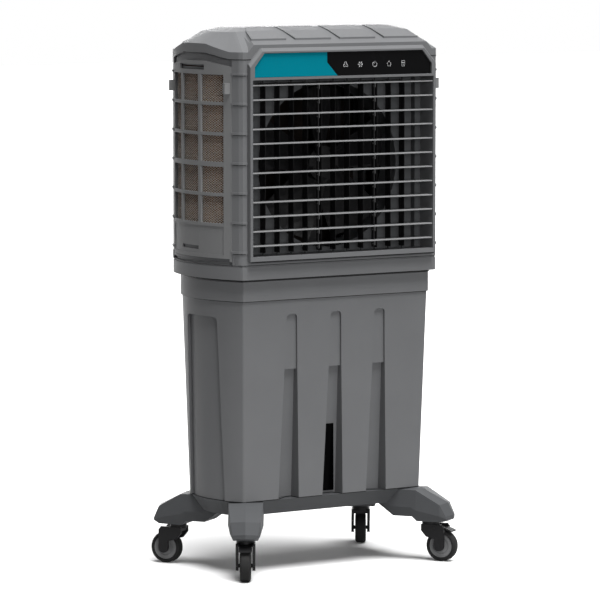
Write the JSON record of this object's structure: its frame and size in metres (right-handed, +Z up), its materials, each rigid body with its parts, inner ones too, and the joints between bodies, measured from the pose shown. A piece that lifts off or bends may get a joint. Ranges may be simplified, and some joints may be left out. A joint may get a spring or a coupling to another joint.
{
  "type": "evaporative cooler",
  "caption": "Tower evaporative cooler on casters: water tank below, hood with lattice pad panels on the sides and back, louvred air outlet, fan and touch panel in front.",
  "frame": {"origin": "on the floor under the middle of the body", "axes": "+Z up, the air outlet faces -Y, +X to the right seen from the front"},
  "size_m": [0.683, 0.452, 1.3802],
  "materials": {
    "body_grey": "fine moulded texture",
    "louvre_grey": "satin moulded",
    "level_window": "dark glossy",
    "fascia": "printed glossy panel, black with a teal end",
    "black_plastic": "satin moulded",
    "tyre": "matte tread with a grey hub disc",
    "pad": "fluted paper",
    "steel": "plated",
    "painted_steel": "black painted",
    "dark_plastic": "moulded",
    "board": "circuit board",
    "hose": "smooth hose"
  },
  "bodies": {
    "cabinet": {"tank": "body_grey", "base_chassis": "body_grey", "hood_body": "body_grey", "top_cover": "body_grey", "grille_bezel": "body_grey", "fan_cowl": "body_grey", "level_window": "level_window", "control_fascia": "fascia", "motor_bracket": "painted_steel", "fan_motor": "dark_plastic", "swing_motor": "dark_plastic", "pump": "dark_plastic", "water_distributor": "dark_plastic", "control_board": "board", "riser_hose": "hose"},
    "fan": {"fan_rotor": "black_plastic", "motor_shaft": "steel"},
    "left_panel": {"left_pad_grille": "body_grey", "left_cooling_pad": "pad"},
    "right_panel": {"right_pad_grille": "body_grey", "right_cooling_pad": "pad"},
    "rear_panel": {"rear_pad_grille": "body_grey", "rear_cooling_pad": "pad"},
    "drain": {"drain_plug": "black_plastic"},
    "caster_front_left": {"caster_fork_front_left": "black_plastic"},
    "wheel_front_left": {"caster_wheel_front_left": "tyre"},
    "pedal_front_left": {"brake_pedal_front_left": "black_plastic"},
    "caster_front_right": {"caster_fork_front_right": "black_plastic"},
    "wheel_front_right": {"caster_wheel_front_right": "tyre"},
    "pedal_front_right": {"brake_pedal_front_right": "black_plastic"},
    "caster_rear_left": {"caster_fork_rear_left": "black_plastic"},
    "wheel_rear_left": {"caster_wheel_rear_left": "tyre"},
    "caster_rear_right": {"caster_fork_rear_right": "black_plastic"},
    "wheel_rear_right": {"caster_wheel_rear_right": "tyre"},
    "louvre_01": {"louvre_01": "louvre_grey"},
    "louvre_02": {"louvre_02": "louvre_grey"},
    "louvre_03": {"louvre_03": "louvre_grey"},
    "louvre_04": {"louvre_04": "louvre_grey"},
    "louvre_05": {"louvre_05": "louvre_grey"},
    "louvre_06": {"louvre_06": "louvre_grey"},
    "louvre_07": {"louvre_07": "louvre_grey"},
    "louvre_08": {"louvre_08": "louvre_grey"},
    "louvre_09": {"louvre_09": "louvre_grey"},
    "louvre_10": {"louvre_10": "louvre_grey"},
    "louvre_11": {"louvre_11": "louvre_grey"},
    "louvre_12": {"louvre_12": "louvre_grey"},
    "louvre_link_left": {"louvre_link_left": "black_plastic"},
    "louvre_link_right": {"louvre_link_right": "black_plastic"},
    "vane_01": {"vane_01": "black_plastic"},
    "vane_02": {"vane_02": "black_plastic"},
    "vane_03": {"vane_03": "black_plastic"},
    "vane_04": {"vane_04": "black_plastic"},
    "vane_05": {"vane_05": "black_plastic"},
    "vane_06": {"vane_06": "black_plastic"},
    "vane_07": {"vane_07": "black_plastic"},
    "vane_08": {"vane_08": "black_plastic"},
    "vane_09": {"vane_09": "black_plastic"},
    "vane_10": {"vane_10": "black_plastic"},
    "vane_11": {"vane_11": "black_plastic"},
    "vane_link": {"vane_link": "black_plastic"}
  },
  "joints": [
    {"name": "fan_spin", "type": "hinge", "parent": "cabinet", "child": "fan", "pos_m": [0, -0.07, 1.0315], "axis": [0, 1, 0], "continuous": true},
    {"name": "swivel_front_left", "type": "hinge", "parent": "cabinet", "child": "caster_front_left", "pos_m": [-0.2839, -0.16, 0.1], "axis": [0, 0, 1], "continuous": true},
    {"name": "roll_front_left", "type": "hinge", "parent": "caster_front_left", "child": "wheel_front_left", "pos_m": [-0.30156, -0.18668, 0.0405], "axis": [0.8339, -0.5519, 0], "continuous": true},
    {"name": "brake_front_left", "type": "hinge", "parent": "caster_front_left", "child": "pedal_front_left", "pos_m": [-0.29384, -0.17501, 0.0882], "axis": [0.8339, -0.5519, 0], "range_deg": [0, 6]},
    {"name": "swivel_front_right", "type": "hinge", "parent": "cabinet", "child": "caster_front_right", "pos_m": [0.2839, -0.16, 0.1], "axis": [0, 0, 1], "continuous": true},
    {"name": "roll_front_right", "type": "hinge", "parent": "caster_front_right", "child": "wheel_front_right", "pos_m": [0.30156, -0.18668, 0.0405], "axis": [0.8339, 0.5519, 0], "continuous": true},
    {"name": "brake_front_right", "type": "hinge", "parent": "caster_front_right", "child": "pedal_front_right", "pos_m": [0.29384, -0.17501, 0.0882], "axis": [0.8339, 0.5519, 0], "range_deg": [0, 6]},
    {"name": "swivel_rear_left", "type": "hinge", "parent": "cabinet", "child": "caster_rear_left", "pos_m": [-0.2839, 0.16, 0.1], "axis": [0, 0, 1], "continuous": true},
    {"name": "roll_rear_left", "type": "hinge", "parent": "caster_rear_left", "child": "wheel_rear_left", "pos_m": [-0.30156, 0.18668, 0.0405], "axis": [-0.8339, -0.5519, 0], "continuous": true},
    {"name": "swivel_rear_right", "type": "hinge", "parent": "cabinet", "child": "caster_rear_right", "pos_m": [0.2839, 0.16, 0.1], "axis": [0, 0, 1], "continuous": true},
    {"name": "roll_rear_right", "type": "hinge", "parent": "caster_rear_right", "child": "wheel_rear_right", "pos_m": [0.30156, 0.18668, 0.0405], "axis": [-0.8339, 0.5519, 0], "continuous": true},
    {"name": "louvre_01_tilt", "type": "hinge", "parent": "cabinet", "child": "louvre_01", "pos_m": [0, -0.163, 0.8379], "axis": [1, 0, 0], "range_deg": [-30, 30]},
    {"name": "louvre_02_tilt", "type": "hinge", "parent": "cabinet", "child": "louvre_02", "pos_m": [0, -0.163, 0.8743], "axis": [1, 0, 0], "range_deg": [-30, 30]},
    {"name": "louvre_03_tilt", "type": "hinge", "parent": "cabinet", "child": "louvre_03", "pos_m": [0, -0.163, 0.9107], "axis": [1, 0, 0], "range_deg": [-30, 30]},
    {"name": "louvre_04_tilt", "type": "hinge", "parent": "cabinet", "child": "louvre_04", "pos_m": [0, -0.163, 0.9471], "axis": [1, 0, 0], "range_deg": [-30, 30]},
    {"name": "louvre_05_tilt", "type": "hinge", "parent": "cabinet", "child": "louvre_05", "pos_m": [0, -0.163, 0.9835], "axis": [1, 0, 0], "range_deg": [-30, 30]},
    {"name": "louvre_06_tilt", "type": "hinge", "parent": "cabinet", "child": "louvre_06", "pos_m": [0, -0.163, 1.0199], "axis": [1, 0, 0], "range_deg": [-30, 30]},
    {"name": "louvre_07_tilt", "type": "hinge", "parent": "cabinet", "child": "louvre_07", "pos_m": [0, -0.163, 1.0563], "axis": [1, 0, 0], "range_deg": [-30, 30]},
    {"name": "louvre_08_tilt", "type": "hinge", "parent": "cabinet", "child": "louvre_08", "pos_m": [0, -0.163, 1.0927], "axis": [1, 0, 0], "range_deg": [-30, 30]},
    {"name": "louvre_09_tilt", "type": "hinge", "parent": "cabinet", "child": "louvre_09", "pos_m": [0, -0.163, 1.1291], "axis": [1, 0, 0], "range_deg": [-30, 30]},
    {"name": "louvre_10_tilt", "type": "hinge", "parent": "cabinet", "child": "louvre_10", "pos_m": [0, -0.163, 1.1655], "axis": [1, 0, 0], "range_deg": [-30, 30]},
    {"name": "louvre_11_tilt", "type": "hinge", "parent": "cabinet", "child": "louvre_11", "pos_m": [0, -0.163, 1.2019], "axis": [1, 0, 0], "range_deg": [-30, 30]},
    {"name": "louvre_12_tilt", "type": "hinge", "parent": "cabinet", "child": "louvre_12", "pos_m": [0, -0.163, 1.2383], "axis": [1, 0, 0], "range_deg": [-30, 30]},
    {"name": "louvre_link_left_pin", "type": "hinge", "parent": "louvre_06", "child": "louvre_link_left", "pos_m": [-0.072, -0.1675, 1.0109], "axis": [1, 0, 0], "range_deg": [-30, 30]},
    {"name": "louvre_link_right_pin", "type": "hinge", "parent": "louvre_06", "child": "louvre_link_right", "pos_m": [0.098, -0.1675, 1.0109], "axis": [1, 0, 0], "range_deg": [-30, 30]},
    {"name": "vane_01_swing", "type": "hinge", "parent": "cabinet", "child": "vane_01", "pos_m": [-0.2115, -0.129, 1.03], "axis": [0, 0, 1], "range_deg": [-35, 35]},
    {"name": "vane_02_swing", "type": "hinge", "parent": "cabinet", "child": "vane_02", "pos_m": [-0.1692, -0.129, 1.03], "axis": [0, 0, 1], "range_deg": [-35, 35]},
    {"name": "vane_03_swing", "type": "hinge", "parent": "cabinet", "child": "vane_03", "pos_m": [-0.1269, -0.129, 1.03], "axis": [0, 0, 1], "range_deg": [-35, 35]},
    {"name": "vane_04_swing", "type": "hinge", "parent": "cabinet", "child": "vane_04", "pos_m": [-0.0846, -0.129, 1.03], "axis": [0, 0, 1], "range_deg": [-35, 35]},
    {"name": "vane_05_swing", "type": "hinge", "parent": "cabinet", "child": "vane_05", "pos_m": [-0.0423, -0.129, 1.03], "axis": [0, 0, 1], "range_deg": [-35, 35]},
    {"name": "vane_06_swing", "type": "hinge", "parent": "cabinet", "child": "vane_06", "pos_m": [0, -0.129, 1.03], "axis": [0, 0, 1], "range_deg": [-35, 35]},
    {"name": "vane_07_swing", "type": "hinge", "parent": "cabinet", "child": "vane_07", "pos_m": [0.0423, -0.129, 1.03], "axis": [0, 0, 1], "range_deg": [-35, 35]},
    {"name": "vane_08_swing", "type": "hinge", "parent": "cabinet", "child": "vane_08", "pos_m": [0.0846, -0.129, 1.03], "axis": [0, 0, 1], "range_deg": [-35, 35]},
    {"name": "vane_09_swing", "type": "hinge", "parent": "cabinet", "child": "vane_09", "pos_m": [0.1269, -0.129, 1.03], "axis": [0, 0, 1], "range_deg": [-35, 35]},
    {"name": "vane_10_swing", "type": "hinge", "parent": "cabinet", "child": "vane_10", "pos_m": [0.1692, -0.129, 1.03], "axis": [0, 0, 1], "range_deg": [-35, 35]},
    {"name": "vane_11_swing", "type": "hinge", "parent": "cabinet", "child": "vane_11", "pos_m": [0.2115, -0.129, 1.03], "axis": [0, 0, 1], "range_deg": [-35, 35]},
    {"name": "vane_link_pin", "type": "hinge", "parent": "vane_01", "child": "vane_link", "pos_m": [-0.2115, -0.12, 1.24], "axis": [0, 0, 1], "range_deg": [-35, 35]},
    {"name": "left_panel_slide", "type": "slide", "parent": "cabinet", "child": "left_panel", "axis": [-1, 0, 0], "range_m": [0, 0.12]},
    {"name": "right_panel_slide", "type": "slide", "parent": "cabinet", "child": "right_panel", "axis": [1, 0, 0], "range_m": [0, 0.12]},
    {"name": "rear_panel_slide", "type": "slide", "parent": "cabinet", "child": "rear_panel", "axis": [0, 1, 0], "range_m": [0, 0.12]},
    {"name": "drain_pull", "type": "slide", "parent": "cabinet", "child": "drain", "axis": [0, 1, 0], "range_m": [0, 0.03]}
  ],
  "couplings": [
    {"joint": "louvre_01_tilt", "follows": "louvre_06_tilt", "ratio": 1},
    {"joint": "louvre_02_tilt", "follows": "louvre_06_tilt", "ratio": 1},
    {"joint": "louvre_03_tilt", "follows": "louvre_06_tilt", "ratio": 1},
    {"joint": "louvre_04_tilt", "follows": "louvre_06_tilt", "ratio": 1},
    {"joint": "louvre_05_tilt", "follows": "louvre_06_tilt", "ratio": 1},
    {"joint": "louvre_07_tilt", "follows": "louvre_06_tilt", "ratio": 1},
    {"joint": "louvre_08_tilt", "follows": "louvre_06_tilt", "ratio": 1},
    {"joint": "louvre_09_tilt", "follows": "louvre_06_tilt", "ratio": 1},
    {"joint": "louvre_10_tilt", "follows": "louvre_06_tilt", "ratio": 1},
    {"joint": "louvre_11_tilt", "follows": "louvre_06_tilt", "ratio": 1},
    {"joint": "louvre_12_tilt", "follows": "louvre_06_tilt", "ratio": 1},
    {"joint": "louvre_link_left_pin", "follows": "louvre_06_tilt", "ratio": -1},
    {"joint": "louvre_link_right_pin", "follows": "louvre_06_tilt", "ratio": -1},
    {"joint": "vane_02_swing", "follows": "vane_01_swing", "ratio": 1},
    {"joint": "vane_03_swing", "follows": "vane_01_swing", "ratio": 1},
    {"joint": "vane_04_swing", "follows": "vane_01_swing", "ratio": 1},
    {"joint": "vane_05_swing", "follows": "vane_01_swing", "ratio": 1},
    {"joint": "vane_06_swing", "follows": "vane_01_swing", "ratio": 1},
    {"joint": "vane_07_swing", "follows": "vane_01_swing", "ratio": 1},
    {"joint": "vane_08_swing", "follows": "vane_01_swing", "ratio": 1},
    {"joint": "vane_09_swing", "follows": "vane_01_swing", "ratio": 1},
    {"joint": "vane_10_swing", "follows": "vane_01_swing", "ratio": 1},
    {"joint": "vane_11_swing", "follows": "vane_01_swing", "ratio": 1},
    {"joint": "vane_link_pin", "follows": "vane_01_swing", "ratio": -1}
  ]
}
